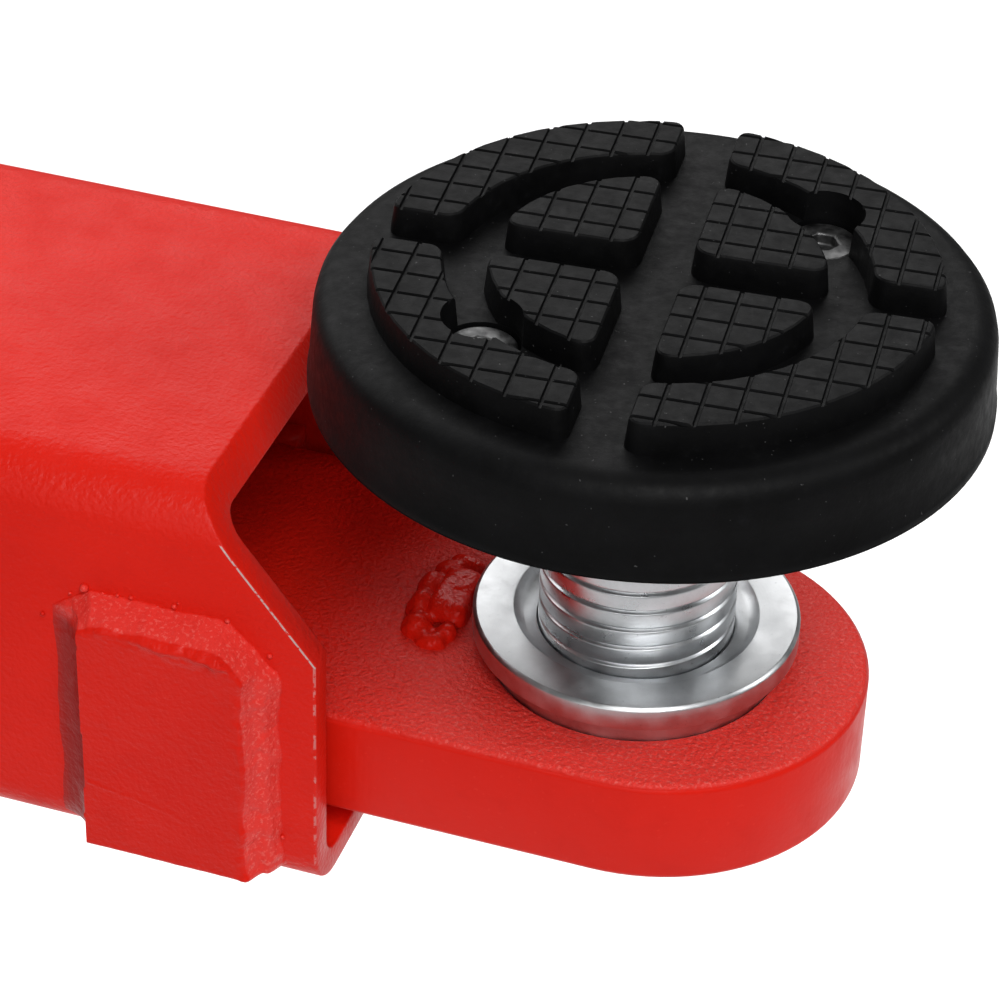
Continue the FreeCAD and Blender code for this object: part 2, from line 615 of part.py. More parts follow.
def rubber_pad():
    seat_top = SADDLE_TOP
    body = turned([(0, PAD_BOTTOM), (PAD_R, PAD_BOTTOM), (PAD_R, PAD_BOTTOM + 1.0), (PAD_SHOULDER_R, PAD_TOP),
                   (0, PAD_TOP)], SCREW_X)
    shoulder = [e for e in body.Edges if e.BoundBox.ZLength < 0.01 and abs(e.BoundBox.ZMin - PAD_TOP) < 0.01]
    body = body.makeFillet(PAD_SHOULDER_FILLET, shoulder)
    body = joined([body, tread(PAD_TOP - 1, PAD_TOP + TREAD_HEIGHT)])
    cuts = [rod(SADDLE_R + PAD_SEAT_CLEARANCE, PAD_BOTTOM - 1, seat_top, SCREW_X)]
    cuts.append(rod(PAD_RING_ROOM_R, seat_top - 1, seat_top + PAD_RING_ROOM_HEIGHT, SCREW_X))
    for x, y in pad_screw_places():
        cuts.append(rod(PAD_SCREW_R + 0.3, seat_top - 1, PAD_TOP, x, y))
        head_room = PAD_SCREW_HEAD_R + PAD_SCREW_HOLE_CLEARANCE
        cuts.append(rod(head_room, seat_top + PAD_CLAMPED, PAD_TOP + TREAD_HEIGHT + 1, x, y))
    return body.cut(cuts)


def pad_fasteners():
    """Two socket-head screws down through the rubber, with nuts under the saddle."""
    seat = SADDLE_TOP + PAD_CLAMPED
    top = seat + PAD_SCREW_HEAD
    nut_low = SADDLE_BOTTOM - PAD_NUT_HEIGHT
    screws, nuts = [], []
    for x, y in pad_screw_places():
        whole = joined([rod(PAD_SCREW_R, nut_low - 1.5, seat, x, y), rod(PAD_SCREW_HEAD_R, seat, top, x, y)])
        socket = hexagon(PAD_SCREW_SOCKET_AF, top - PAD_SCREW_SOCKET_DEPTH, top + 1, x, y)
        screws.append(whole.cut(socket))
        nut = hexagon(PAD_NUT_AF, nut_low, SADDLE_BOTTOM, x, y)
        nuts.append(nut.cut(rod(PAD_SCREW_R, nut_low - 1, SADDLE_BOTTOM + 1, x, y)))
    return Part.makeCompound(screws), Part.makeCompound(nuts)


def build():
    gear_bolts, gear_washers, gear_nuts = gear_fasteners()
    pad_screws, pad_nuts = pad_fasteners()
    return {
        "outer_arm_tube": outer_arm_tube(),
        "outer_mouth_band": outer_mouth_band(),
        "pivot_boss": pivot_boss(),
        "pivot_bush_lower": pivot_bush(0),
        "pivot_bush_upper": pivot_bush(BOSS_HEIGHT - BUSH_LENGTH),
        "pivot_plate_lower": pivot_plate(0),
        "pivot_plate_upper": drill_for_gear_bolts(pivot_plate(OUTER_TOP), OUTER_TOP),
        "root_plate": root_plate(),
        "root_rib_near": root_rib(-1),
        "root_rib_far": root_rib(1),
        "restraint_gear": restraint_gear(),
        "gear_bolts": gear_bolts,
        "gear_washers": gear_washers,
        "gear_nuts": gear_nuts,
        "grease_nipple": grease_nipple(),
        "travel_stop_nut": stop_nut(),
        "travel_stop_bolt": stop_bolt(),
        "inner_arm_tube": inner_arm_tube(),
        "stop_block_near": stop_block(-1),
        "stop_block_far": stop_block(1),
        "stop_block_weld_near": block_weld(-1),
        "stop_block_weld_far": block_weld(1),
        "lug_plate": lug_plate(),
        "lug_weld_near": lug_weld(-1),
        "lug_weld_far": lug_weld(1),
        "lug_packing": lug_packing(),
        "sleeve_stop_tab": stop_tab(),
        "sleeve_stop_tab_weld": tab_weld(),
        "sleeve_ring": stop_ring(SLEEVE_RING_R, SLEEVE_R, SLEEVE_BOTTOM),
        "screw_sleeve": screw_sleeve(),
        "screw_ring": stop_ring(SCREW_RING_R, SCREW_R, SCREW_BOTTOM),
        "lift_screw": lift_screw(),
        "spigot_ring": spigot_ring(),
        "thrust_washer": thrust_washer(),
        "pad_hub": pad_hub(),
        "saddle_plate": saddle_plate(),
        "rubber_pad": rubber_pad(),
        "pad_screws": pad_screws,
        "pad_nuts": pad_nuts,
    }


def main():
    os.makedirs("parts", exist_ok=True)
    for node, shape in build().items():
        assert shape.isValid(), node
        shape.exportStep(os.path.join("parts", node + ".step"))
        size = shape.BoundBox
        print("%-22s solids %d  volume %9.0f  x %.1f..%.1f  z %.1f..%.1f" % (
            node, len(shape.Solids), shape.Volume, size.XMin, size.XMax, size.ZMin, size.ZMax))


main()
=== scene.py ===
import math

import bmesh
import bpy
from mathutils import Matrix, Vector, noise


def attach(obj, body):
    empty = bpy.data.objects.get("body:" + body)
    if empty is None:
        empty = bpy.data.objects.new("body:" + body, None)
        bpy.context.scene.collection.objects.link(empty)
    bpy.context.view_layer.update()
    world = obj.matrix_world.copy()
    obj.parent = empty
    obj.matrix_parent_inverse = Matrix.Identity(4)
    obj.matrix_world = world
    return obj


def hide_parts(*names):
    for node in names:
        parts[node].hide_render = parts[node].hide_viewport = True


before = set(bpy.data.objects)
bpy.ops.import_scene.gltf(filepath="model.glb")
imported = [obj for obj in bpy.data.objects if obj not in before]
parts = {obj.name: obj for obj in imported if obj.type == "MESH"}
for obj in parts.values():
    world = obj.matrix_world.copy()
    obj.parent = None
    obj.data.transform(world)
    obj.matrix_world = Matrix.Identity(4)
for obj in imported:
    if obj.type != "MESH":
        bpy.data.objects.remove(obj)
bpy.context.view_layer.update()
scene = bpy.context.scene
MM = 0.001

# Places and sizes in millimetres, and one angle in degrees.
SCREW_X = 803.8
LUG_TOP = 51.0
TAB_WELD_END = 772.9
PITCH = 4.0

PAD_SHELF = 128.5
TREAD_TOP = 134.2
TREAD_TURN = 4.6
PAD_SCREW_RADIUS = 35.0
ISLAND_HALF_GAP = 4.4

# The inner tube's side, its bottom corner, and the sloping cut at its mouth.
ARM_WALL = 49.5
TUBE_CORNER = 10.0
TUBE_CORNER_Z = 27.0
CUT_TOP_X, CUT_TOP_Z = 735.8, 100.0
CUT_RUN = 0.7918

# The stop block: its middle, face, foot and the roll of its lower edge, and how far its skin is sunk in.
BLOCK_X, BLOCK_Z = 731.0, 51.0
BLOCK_FACE = 56.5
BLOCK_FOOT = 23.0
BLOCK_LIP = 0.9
BLOCK_SINK = 0.28
BLOCK_BACK = 0.6


# ---------------------------------------------------------------- shaping

def mm(x, y, z):
    return Vector((x * MM, y * MM, z * MM))


def close_up(bm):
    bmesh.ops.remove_doubles(bm, verts=bm.verts, dist=0.000004)
    bmesh.ops.recalc_face_normals(bm, faces=bm.faces)


def finished(name, bm, finish, body, crease=35.0):
    """Makes the object, shades it smooth up to a crease angle, and puts it on its body."""
    mesh = bpy.data.meshes.new(name)
    bm.to_mesh(mesh)
    bm.free()
    piece = bpy.data.objects.new(name, mesh)
    scene.collection.objects.link(piece)
    mesh.materials.append(finish)
    mesh.shade_smooth()
    mesh.set_sharp_from_angle(angle=math.radians(crease))
    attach(piece, body)
    return piece


def sharp_edges(bm, angle):
    limit = math.radians(angle)
    return [e for e in bm.edges if len(e.link_faces) == 2 and e.calc_face_angle(0.0) > limit]


def ease(bm, width, segments=2, angle=30.0):
    """Rounds the sharp edges, as a file or a thick coat of paint does."""
    bmesh.ops.bevel(bm, geom=sharp_edges(bm, angle), offset=width * MM, offset_type="OFFSET",
                    segments=segments, profile=0.5, affect="EDGES", material=-1, clamp_overlap=True)


def extent(node):
    """The lowest and highest corner of a node, in millimetres."""
    corners = [Vector(corner) / MM for corner in parts[node].bound_box]
    low = [min(c[k] for c in corners) for k in range(3)]
    high = [max(c[k] for c in corners) for k in range(3)]
    return low, high


def copied(node):
    """The node's own shape, with its triangles merged back into faces."""
    bm = bmesh.new()
    bm.from_mesh(parts[node].data)
    bmesh.ops.remove_doubles(bm, verts=bm.verts, dist=0.00001)
    bmesh.ops.dissolve_limit(bm, angle_limit=math.radians(0.6), verts=bm.verts, edges=bm.edges)
    return bm


def eased_copy(node, body, finish, width, segments=2, angle=30.0):
    bm = copied(node)
    ease(bm, width, segments, angle)
    bmesh.ops.triangulate(bm, faces=[f for f in bm.faces if len(f.verts) > 4])
    piece = finished(node + "_finished", bm, finish, body)
    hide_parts(node)
    return piece


def turned(profile, steps=120, x=SCREW_X, y=0.0, closed=True):
    """Turns a profile of (radius, height) pairs round an upright axis."""
    bm = bmesh.new()
    points = [bm.verts.new(mm(x + r, y, z)) for r, z in profile]
    lines = [bm.edges.new(pair) for pair in zip(points, points[1:])]
    if closed:
        lines.append(bm.edges.new((points[-1], points[0])))
    bmesh.ops.spin(bm, geom=points + lines, cent=mm(x, y, 0), axis=(0, 0, 1), dvec=(0, 0, 0),
                   angle=2 * math.pi, steps=steps, use_merge=True, use_duplicate=False)
    close_up(bm)
    return bm


def threaded(radius, depth, z0, z1, steps=96):
    """A single-start thread with broad flat crests, cut off square at both ends."""
    bm = bmesh.new()
    rows = []
    turns = int((z1 - z0) / PITCH) + 3
    groove = ((0.00, 0.02), (0.16, 0.18), (0.34, 0.95), (0.44, 1.0), (0.58, 1.0), (0.68, 0.95),
              (0.86, 0.18), (1.02, 0.02), (1.30, 0.0), (3.72, 0.0))
    for k in range(turns):
        for rise, share in groove:
            rows.append((radius - depth * share, z0 + (k - 2) * PITCH + rise))
    points = [bm.verts.new(mm(SCREW_X + r, 0, z)) for r, z in rows]
    lines = [bm.edges.new(pair) for pair in zip(points, points[1:])]
    bmesh.ops.spin(bm, geom=points + lines, cent=mm(SCREW_X, 0, 0), axis=(0, 0, 1),
                   dvec=(0, 0, PITCH * MM / steps), angle=2 * math.pi, steps=steps,
                   use_merge=False, use_duplicate=False)
    bmesh.ops.remove_doubles(bm, verts=bm.verts, dist=0.000004)
    for height, side in ((z0, -1), (z1, 1)):
        cut = bmesh.ops.bisect_plane(bm, geom=bm.verts[:] + bm.edges[:] + bm.faces[:], dist=1e-7,
                                     plane_co=mm(SCREW_X, 0, height), plane_no=(0, 0, side),
                                     clear_outer=True)
        rim = [e for e in cut["geom_cut"] if isinstance(e, bmesh.types.BMEdge) and e.is_boundary]
        bmesh.ops.edgeloop_fill(bm, edges=rim)
    close_up(bm)
    return bm


def added(bm, other):
    """Puts one shape's faces into another's mesh."""
    mesh = bpy.data.meshes.new("working")
    other.to_mesh(mesh)
    other.free()
    bm.from_mesh(mesh)
    bpy.data.meshes.remove(mesh)
    return bm


def working_object(bm):
    mesh = bpy.data.meshes.new("working")
    bm.to_mesh(mesh)
    bm.free()
    work = bpy.data.objects.new("working", mesh)
    scene.collection.objects.link(work)
    return work


def settled(work):
    """The object's shape once its modifiers have run, as a bmesh; the object itself goes."""
    graph = bpy.context.evaluated_depsgraph_get()
    mesh = bpy.data.meshes.new_from_object(work.evaluated_get(graph))
    bm = bmesh.new()
    bm.from_mesh(mesh)
    bpy.data.objects.remove(work)
    return bm


def cut_from(bm, cutters):
    work = working_object(bm)
    tools = []
    for cutter in cutters:
        tool = working_object(cutter)
        tools.append(tool)
        step = work.modifiers.new("cut", "BOOLEAN")
        step.operation = "DIFFERENCE"
        step.solver = "EXACT"
        step.object = tool
    shape = settled(work)
    for tool in tools:
        bpy.data.objects.remove(tool)
    return shape


def melted(bm, voxel, rounds, lumps):
    """Runs shapes together as weld metal does: one skin, smoothed, then pushed about by soft noise."""
    work = working_object(bm)
    skin = work.modifiers.new("skin", "REMESH")
    skin.mode = "VOXEL"
    skin.voxel_size = voxel * MM
    shape = settled(work)
    for _ in range(rounds):
        bmesh.ops.smooth_vert(shape, verts=shape.verts, factor=0.5, use_axis_x=True, use_axis_y=True,
                              use_axis_z=True)
    shape.normal_update()
    for grain, amount in lumps:
        for v in shape.verts:
            v.co += v.normal * (noise.noise(v.co * (1000.0 / grain)) * amount * MM)
        shape.normal_update()
    return shape


def drops_along(path, gap):
    """Places every gap millimetres along a path of straight lines."""
    for a, b in zip(path, path[1:]):
        steps = max(int((Vector(b) - Vector(a)).length / gap), 1)
        for k in range(steps):
            yield Vector(a).lerp(Vector(b), k / steps)


def weld_run(name, path, size, body, finish):
    """A bead of weld laid along a path as overlapping frozen drops."""
    bm = bmesh.new()
    for place in drops_along(path, size * 0.75):
        drop = bmesh.ops.create_icosphere(bm, subdivisions=2, radius=size * MM)["verts"]
        bmesh.ops.translate(bm, verts=drop, vec=mm(*place))
    bm = melted(bm, 0.8, 1, ((9.0, 0.9), (3.0, 0.5)))
    close_up(bm)
    return finished(name, bm, finish, body, crease=80.0)


# ---------------------------------------------------------------- finishes

def add(tree, kind, sockets=None, **settings):
    """Adds a node, sets its options, and fills or links its sockets."""
    made = tree.nodes.new(kind)
    for key, value in settings.items():
        setattr(made, key, value)
    for key, value in (sockets or {}).items():
        if isinstance(value, bpy.types.NodeSocket):
            tree.links.new(value, made.inputs[key])
        else:
            made.inputs[key].default_value = value
    return made


def new_finish(name, **values):
    material = bpy.data.materials.new(name)
    material.use_nodes = True
    tree = material.node_tree
    shader = tree.nodes["Principled BSDF"]
    for key, value in values.items():
        shader.inputs[key.replace("_", " ")].default_value = value
    place = add(tree, "ShaderNodeTexCoord").outputs["Object"]
    return material, tree, shader, place


def cloud(tree, place, across, detail=3.0, roughness=0.5):
    """Soft noise whose blobs are about so many millimetres across."""
    return add(tree, "ShaderNodeTexNoise",
               {"Vector": place, "Scale": 1000.0 / across, "Detail": detail,
                "Roughness": roughness}).outputs["Fac"]


def calc(tree, operation, a, b=0.0):
    return add(tree, "ShaderNodeMath", {0: a, 1: b}, operation=operation).outputs[0]


def product(tree, *values):
    """The values multiplied together, first to last."""
    result = values[0]
    for value in values[1:]:
        result = calc(tree, "MULTIPLY", result, value)
    return result


def linked(shader, name):
    """The socket that feeds one of the shader's inputs."""
    return shader.inputs[name].links[0].from_socket


def rescaled(tree, value, low, high, to_low=0.0, to_high=1.0):
    return add(tree, "ShaderNodeMapRange",
               {"Value": value, "From Min": low, "From Max": high, "To Min": to_low, "To Max": to_high},
               clamp=True).outputs[0]


def blended(tree, factor, a, b):
    return add(tree, "ShaderNodeMix", {0: factor, 6: a, 7: b}, data_type="RGBA").outputs[2]


def bumped(tree, height, distance, strength, normal=None):
    sockets = {"Height": height, "Distance": distance * MM, "Strength": strength}
    if normal is not None:
        sockets["Normal"] = normal
    return add(tree, "ShaderNodeBump", sockets).outputs["Normal"]


def split(tree, place):
    return add(tree, "ShaderNodeSeparateXYZ", {0: place}).outputs


def red_paint(name, grain, peel, sag, gloss=0.40, rise=0.30):
    """Thick sprayed enamel: orange peel, slow sags, a little unevenness of tone, and small lighter pink
    specks that are painted glints.
    """
    material, tree, shader, place = new_finish(name, Specular_IOR_Level=0.15)
    slow = cloud(tree, place, 46, 3)
    patch = cloud(tree, place, 7, 4, 0.6)
    fine = cloud(tree, place, grain, 2)
    tone = blended(tree, rescaled(tree, slow, 0.35, 0.65), (0.640, 0.0098, 0.0034, 1),
                   (0.700, 0.0125, 0.0046, 1))
    tone = blended(tree, rescaled(tree, patch, 0.52, 0.78, 0.0, 0.32), tone, (0.560, 0.0078, 0.0030, 1))
    # painted glints: small lighter, pinker specks standing in for highlights on the orange peel
    speck = rescaled(tree, cloud(tree, place, 1.1, 1), 0.70, 0.76, 0.0, 0.35)
    tone = blended(tree, speck, tone, (0.74, 0.034, 0.020, 1))
    tree.links.new(tone, shader.inputs["Base Color"])
    rough = rescaled(tree, patch, 0.3, 0.7, gloss - 0.06, gloss + 0.10)
    tree.links.new(rough, shader.inputs["Roughness"])
    normal = bumped(tree, slow, 1.6, sag)
    normal = bumped(tree, patch, 0.35, sag, normal)
    normal = bumped(tree, fine, rise, peel, normal)
    tree.links.new(normal, shader.inputs["Normal"])
    return material, tree, shader, place


def plated(name, tint, rough_low, rough_high, lines_along, spacing, depth):
    """Bright zinc over turned steel: fine tool lines, cloudy patches and small dark spots."""
    material, tree, shader, place = new_finish(name, Metallic=1.0, Specular_IOR_Level=0.5)
    clouds = cloud(tree, place, 5.5, 4, 0.62)
    small = cloud(tree, place, 0.9, 3, 0.6)
    dull = tuple(c * 0.80 for c in tint)
    colour = blended(tree, rescaled(tree, clouds, 0.34, 0.66), dull + (1,), tint + (1,))
    spots = rescaled(tree, small, 0.66, 0.76, 0.0, 0.55)
    colour = blended(tree, spots, colour, (0.20, 0.21, 0.22, 1))
    tree.links.new(colour, shader.inputs["Base Color"])
    tree.links.new(rescaled(tree, clouds, 0.3, 0.7, rough_low, rough_high), shader.inputs["Roughness"])
    if lines_along == "radius":
        centred = add(tree, "ShaderNodeMapping",
                      {"Vector": place, "Location": (-SCREW_X * MM, 0, 0)}).outputs[0]
        axes = split(tree, centred)
        squares = calc(tree, "ADD", product(tree, axes[0], axes[0]), product(tree, axes[1], axes[1]))
        reach = calc(tree, "SQRT", squares)
        along = calc(tree, "ADD", reach, axes[2])
    else:
        along = split(tree, place)[2]
    wobble = product(tree, cloud(tree, place, 14, 2), 0.0006)
    cut = add(tree, "ShaderNodeCombineXYZ", {2: calc(tree, "ADD", along, wobble)}).outputs[0]
    lines = cloud(tree, cut, spacing, 2.0)
    normal = bumped(tree, clouds, 0.05, 0.25)
    normal = bumped(tree, lines, depth, 0.55, normal)
    normal = bumped(tree, small, 0.02, 0.3, normal)
    tree.links.new(normal, shader.inputs["Normal"])
    return material


def rubber_finish():
    """Moulded black rubber: nearly matt, with bloom, dust in its corners and a fine tooth."""
    material, tree, shader, place = new_finish("moulded_rubber", Specular_IOR_Level=0.10)
    bloom = cloud(tree, place, 16, 4, 0.6)
    dusty = cloud(tree, place, 2.6, 5, 0.7)
    colour = blended(tree, rescaled(tree, bloom, 0.35, 0.7), (0.0012, 0.0012, 0.0013, 1),
                     (0.0034, 0.0034, 0.0037, 1))
    colour = blended(tree, rescaled(tree, dusty, 0.60, 0.82, 0.0, 0.35), colour, (0.011, 0.0115, 0.013, 1))
    speck = rescaled(tree, cloud(tree, place, 0.7, 1), 0.77, 0.80, 0.0, 0.5)
    colour = blended(tree, speck, colour, (0.11, 0.11, 0.11, 1))
    tree.links.new(colour, shader.inputs["Base Color"])
    tree.links.new(rescaled(tree, dusty, 0.3, 0.75, 0.44, 0.64), shader.inputs["Roughness"])
    normal = bumped(tree, bloom, 0.8, 0.25)
    normal = bumped(tree, dusty, 0.16, 0.5, normal)
    normal = bumped(tree, cloud(tree, place, 0.45, 2), 0.03, 0.35, normal)
    tree.links.new(normal, shader.inputs["Normal"])
    return material


def metal_finish(name, light, dark, rough_low, rough_high, grain, depth):
    """A plain worked metal: two tones in clouds, with a fine tooth."""
    material, tree, shader, place = new_finish(name, Metallic=1.0, Specular_IOR_Level=0.5)
    clouds = cloud(tree, place, 9, 5, 0.62)
    fine = cloud(tree, place, grain, 3, 0.6)
    darker = tuple(c * 0.6 for c in dark)
    colour = blended(tree, rescaled(tree, clouds, 0.35, 0.68), dark + (1,), light + (1,))
    colour = blended(tree, rescaled(tree, fine, 0.60, 0.78, 0.0, 0.4), colour, darker + (1,))
    tree.links.new(colour, shader.inputs["Base Color"])
    tree.links.new(rescaled(tree, fine, 0.3, 0.7, rough_low, rough_high), shader.inputs["Roughness"])
    normal = bumped(tree, clouds, 0.2, 0.3)
    normal = bumped(tree, fine, depth, 0.5, normal)
    tree.links.new(normal, shader.inputs["Normal"])
    return material


def painted_glints(tree, shader, place, mask, amount):
    """Paints highlights into the paint wherever the mask is 1: a lighter painted sheen, and pale painted
    glints on the tips of the grain.
    """
    tips = rescaled(tree, cloud(tree, place, 0.75, 2, 0.6), 0.54, 0.66, 0.0, amount)
    # painted sheen: the masked paint made lighter, as if lit
    paint = blended(tree, product(tree, mask, 0.75), linked(shader, "Base Color"), (0.76, 0.046, 0.036, 1))
    # painted glints: pale pink spots on the tips of the grain
    lit = blended(tree, product(tree, tips, mask), paint, (0.92, 0.30, 0.26, 1))
    tree.links.new(lit, shader.inputs["Base Color"])


def weld_gloss_painted_light(finish, low, high):
    """Wet-looking paint over weld metal that stands between two distances from the arm's middle.

    The runs above and in front of the block get painted glints and a painted sheen, and the hollow flank
    behind it is painted dark as shade.
    """
    material, tree, shader, place = finish
    x, y, z = split(tree, place)
    out = calc(tree, "ABSOLUTE", y)
    in_front = rescaled(tree, x, 0.742, 0.746)
    above = rescaled(tree, z, 0.0695, 0.0715)
    weld = product(tree, rescaled(tree, out, low, low + 0.0004), rescaled(tree, out, high, high - 0.0004),
                   calc(tree, "MAXIMUM", in_front, above))
    # painted glints and painted sheen on the weld runs
    painted_glints(tree, shader, place, weld, 0.20)
    # painted shade: the hollow flank behind the block is darkened towards a near-black red
    behind = product(tree, rescaled(tree, x, 0.7176, 0.7168), rescaled(tree, z, 0.071, 0.068),
                     rescaled(tree, x, 0.7085, 0.7120, 0.25, 0.66))
    tree.links.new(blended(tree, behind, linked(shader, "Base Color"), (0.20, 0.003, 0.002, 1)),
                   shader.inputs["Base Color"])
    wet = product(tree, linked(shader, "Roughness"), rescaled(tree, weld, 0, 1, 1.0, 0.62))
    tree.links.new(wet, shader.inputs["Roughness"])
    return material


def lug_paint():
    """The lug's paint: pebbled on top, with a painted sheen and painted glints on the top towards its free
    end, and smooth down its flame-cut sides but for faint upright streaks.
    """
    material, tree, shader, place = red_paint("lug_enamel", 1.2, 0.40, 0.18, 0.36, 0.15)
    normal = linked(shader, "Normal")
    x, y, z = split(tree, place)
    top = rescaled(tree, z, 0.0503, 0.0508)
    # painted sheen and painted glints on the lug's top, from the mouth towards its free end
    painted_glints(tree, shader, place, product(tree, top, rescaled(tree, x, 0.750, 0.780)), 0.22)
    normal = bumped(tree, product(tree, cloud(tree, place, 0.95, 2, 0.6), top), 0.55, 1.0, normal)
    drawn = add(tree, "ShaderNodeMapping", {"Vector": place, "Scale": (1, 1, 0.03)}).outputs[0]
    streaks = product(tree, cloud(tree, drawn, 3.0, 3, 0.6), calc(tree, "SUBTRACT", 1.0, top))
    normal = bumped(tree, streaks, 0.20, 0.45, normal)
    tree.links.new(normal, shader.inputs["Normal"])
    return material


def arm_paint():
    """The inner arm's paint, worn to bare steel along the outer edges of the sloping cut at its mouth."""
    material, tree, shader, place = red_paint("arm_enamel", 1.1, 0.80, 0.22)
    x, y, z = split(tree, place)
    past_cut = calc(tree, "ADD", product(tree, calc(tree, "SUBTRACT", x, 0.7368), 0.7838),
                    product(tree, calc(tree, "SUBTRACT", z, 0.1000), 0.6207))
    at_cut = product(tree, rescaled(tree, past_cut, -0.00060, -0.00050),
                     rescaled(tree, past_cut, -0.00018, -0.00028))
    at_front = product(tree, rescaled(tree, x, 0.75945, 0.75955), rescaled(tree, z, 0.072, 0.070))
    outside = rescaled(tree, calc(tree, "ABSOLUTE", y), 0.04915, 0.04930)
    below_top = rescaled(tree, z, 0.0965, 0.0945)
    crack = rescaled(tree, cloud(tree, place, 1.6, 6, 0.75), 0.43, 0.50)
    chip = rescaled(tree, cloud(tree, place, 2.0, 4, 0.7), 0.50, 0.56, 0.0, 0.35)
    worn = calc(tree, "MAXIMUM", product(tree, at_cut, below_top, crack), product(tree, at_front, chip))
    bare = product(tree, worn, outside)
    tree.links.new(blended(tree, bare, linked(shader, "Base Color"), (0.60, 0.44, 0.42, 1)),
                   shader.inputs["Base Color"])
    tree.links.new(product(tree, bare, 0.40), shader.inputs["Metallic"])
    return material


arm_enamel = arm_paint()
block_enamel = weld_gloss_painted_light(red_paint("block_enamel", 0.9, 0.80, 0.25, 0.36, 0.26), 0.0496, 0.0560)
lug_enamel = lug_paint()
packing_enamel = red_paint("packing_enamel", 1.1, 0.6, 0.2)[0]
weld_enamel = red_paint("weld_enamel", 1.2, 0.90, 0.50, 0.26, 0.40)[0]
outer_enamel = red_paint("outer_arm_enamel", 1.3, 0.55, 0.25, 0.42)[0]
flange_zinc = plated("turned_zinc", (0.60, 0.61, 0.62), 0.28, 0.46, "radius", 0.35, 0.020)
screw_zinc = plated("thread_zinc", (0.74, 0.76, 0.78), 0.24, 0.38, "height", 0.22, 0.030)
bolt_zinc = plated("bolt_zinc", (0.62, 0.63, 0.63), 0.30, 0.46, "height", 0.40, 0.015)
moulded_rubber = rubber_finish()
oiled_bronze = metal_finish("oiled_bronze", (0.52, 0.31, 0.12), (0.34, 0.18, 0.06), 0.24, 0.40, 0.7, 0.03)
# zinc darkened nearly to black all over, used on the pad screws
dark_zinc = metal_finish("dark_zinc", (0.22, 0.22, 0.22), (0.020, 0.020, 0.021), 0.32, 0.60, 1.6, 0.10)
blackened_steel = metal_finish("blackened_steel", (0.070, 0.068, 0.066), (0.030, 0.029, 0.029),
                               0.34, 0.55, 0.8, 0.06)
spring_steel = metal_finish("spring_steel", (0.16, 0.16, 0.17), (0.07, 0.07, 0.075), 0.28, 0.42, 0.5, 0.03)


# ---------------------------------------------------------------- the rubber pad

def pad_turn(bm, angle=TREAD_TURN):
    """Turns a shape about the pad's own axis, by the tread's angle or another."""
    bmesh.ops.rotate(bm, verts=bm.verts, cent=mm(SCREW_X, 0, 0),
                     matrix=Matrix.Rotation(math.radians(angle), 3, "Z"))
    return bm


def swept_arc(bm, radius, start, sweep, steps, height):
    """A row of edges along an arc, made by spinning one point; gives its two ends."""
    a = math.radians(start)
    first = bm.verts.new(mm(SCREW_X + radius * math.cos(a), radius * math.sin(a), height))
    made = bmesh.ops.spin(bm, geom=[first], cent=mm(SCREW_X, 0, 0), axis=(0, 0, 1), dvec=(0, 0, 0),
                          angle=math.radians(sweep), steps=steps, use_merge=False, use_duplicate=False)
    return first, made["geom_last"][0]


def raised_island(bm, corner_round):
    """Rounds an outline's corners, then lifts it with drafted sides and a rolled top edge."""
    bmesh.ops.edgeloop_fill(bm, edges=bm.edges)
    corners = []
    for v in bm.verts:
        a, b = (e.other_vert(v).co - v.co for e in v.link_edges)
        if a.angle(b) < math.radians(140):
            corners.append(v)
    bmesh.ops.bevel(bm, geom=corners, offset=corner_round * MM, offset_type="OFFSET", segments=5, profile=0.5,
                    affect="VERTICES", material=-1, clamp_overlap=True)
    bm.normal_update()
    if min(f.normal.z for f in bm.faces) < 0:
        bmesh.ops.reverse_faces(bm, faces=bm.faces)
    lifted = bmesh.ops.extrude_face_region(bm, geom=bm.faces[:])
    top = [f for f in lifted["geom"] if isinstance(f, bmesh.types.BMFace)]
    bmesh.ops.translate(bm, verts=list({v for f in top for v in f.verts}), vec=mm(0, 0, 0.6))
    for inward, up in ((0.50, 4.7), (0.16, 0.55), (0.28, 0.30), (0.40, 0.05)):
        bmesh.ops.inset_region(bm, faces=top, thickness=inward * MM, depth=up * MM, use_even_offset=True)
    close_up(bm)
    return bm


def island(inner, outer, quarter, corner_round):
    """One island of the tread: part of a ring, or a quarter disc when inner is nothing."""
    half = ISLAND_HALF_GAP
    low = PAD_SHELF - 0.5
    bm = bmesh.new()
    start = math.degrees(math.asin(half / outer))
    a0, a1 = swept_arc(bm, outer, start, 90 - 2 * start, 12 if inner else 8, low)
    if inner:
        start = math.degrees(math.asin(half / inner))
        b0, b1 = swept_arc(bm, inner, start, 90 - 2 * start, 10, low)
        bm.edges.new((a0, b0))
        bm.edges.new((a1, b1))
    else:
        centre = bm.verts.new(mm(SCREW_X + half, half, low))
        bm.edges.new((a0, centre))
        bm.edges.new((a1, centre))
    raised_island(bm, corner_round)
    return pad_turn(bm, quarter * 90.0)


def waffle_cutter(way):
    """A row of shallow V-sided bars that press one set of the waffle's lines into the islands."""
    bm = bmesh.new()
    for k in range(-8, 9):
        bar = bmesh.ops.create_cube(bm, size=1.0)["verts"]
        for v in bar:
            wide = 1.25 if v.co.z > 0 else 0.45
            v.co = mm(v.co.x * 112, v.co.y * wide, TREAD_TOP + v.co.z * 1.1)
        bmesh.ops.translate(bm, verts=bar, vec=mm(0, (k + 0.5) * 6.25, 0))
    bmesh.ops.rotate(bm, verts=bm.verts, cent=(0, 0, 0),
                     matrix=Matrix.Rotation(math.radians(way * 90.0), 3, "Z"))
    bmesh.ops.translate(bm, verts=bm.verts, vec=mm(SCREW_X, 0, 0))
    return pad_turn(bm)


def screw_places():
    for angle in (TREAD_TURN + 45.0, TREAD_TURN + 225.0):
        a = math.radians(angle)
        yield SCREW_X + PAD_SCREW_RADIUS * math.cos(a), PAD_SCREW_RADIUS * math.sin(a)


